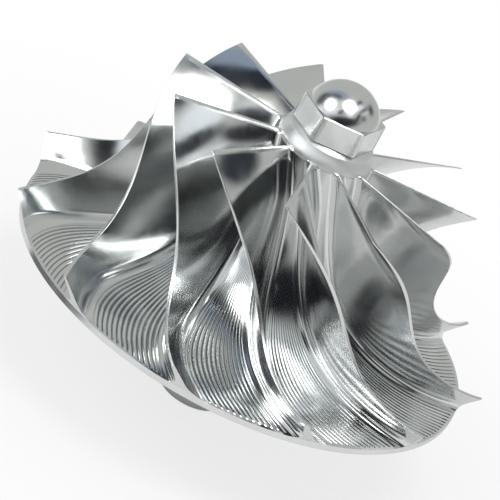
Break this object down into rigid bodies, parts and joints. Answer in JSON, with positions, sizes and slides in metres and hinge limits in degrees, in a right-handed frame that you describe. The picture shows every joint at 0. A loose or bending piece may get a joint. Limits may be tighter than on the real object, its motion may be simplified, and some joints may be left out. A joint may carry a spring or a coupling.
{
  "type": "compressor wheel",
  "caption": "Milled aluminium turbocharger compressor wheel with extended blade tips, a hexagon nose with a dome, and a blind threaded boss.",
  "frame": {"origin": "middle of the boss's end face, on the wheel's axis", "axes": "+Z along the axis from the boss to the domed nose; +X and +Y square to it"},
  "size_m": [0.0927, 0.0932, 0.0696],
  "materials": {
    "wheel": "bright turned and milled aluminium with fine tool marks"
  },
  "bodies": {
    "root": {"compressor_wheel": "wheel"}
  },
  "joints": []
}
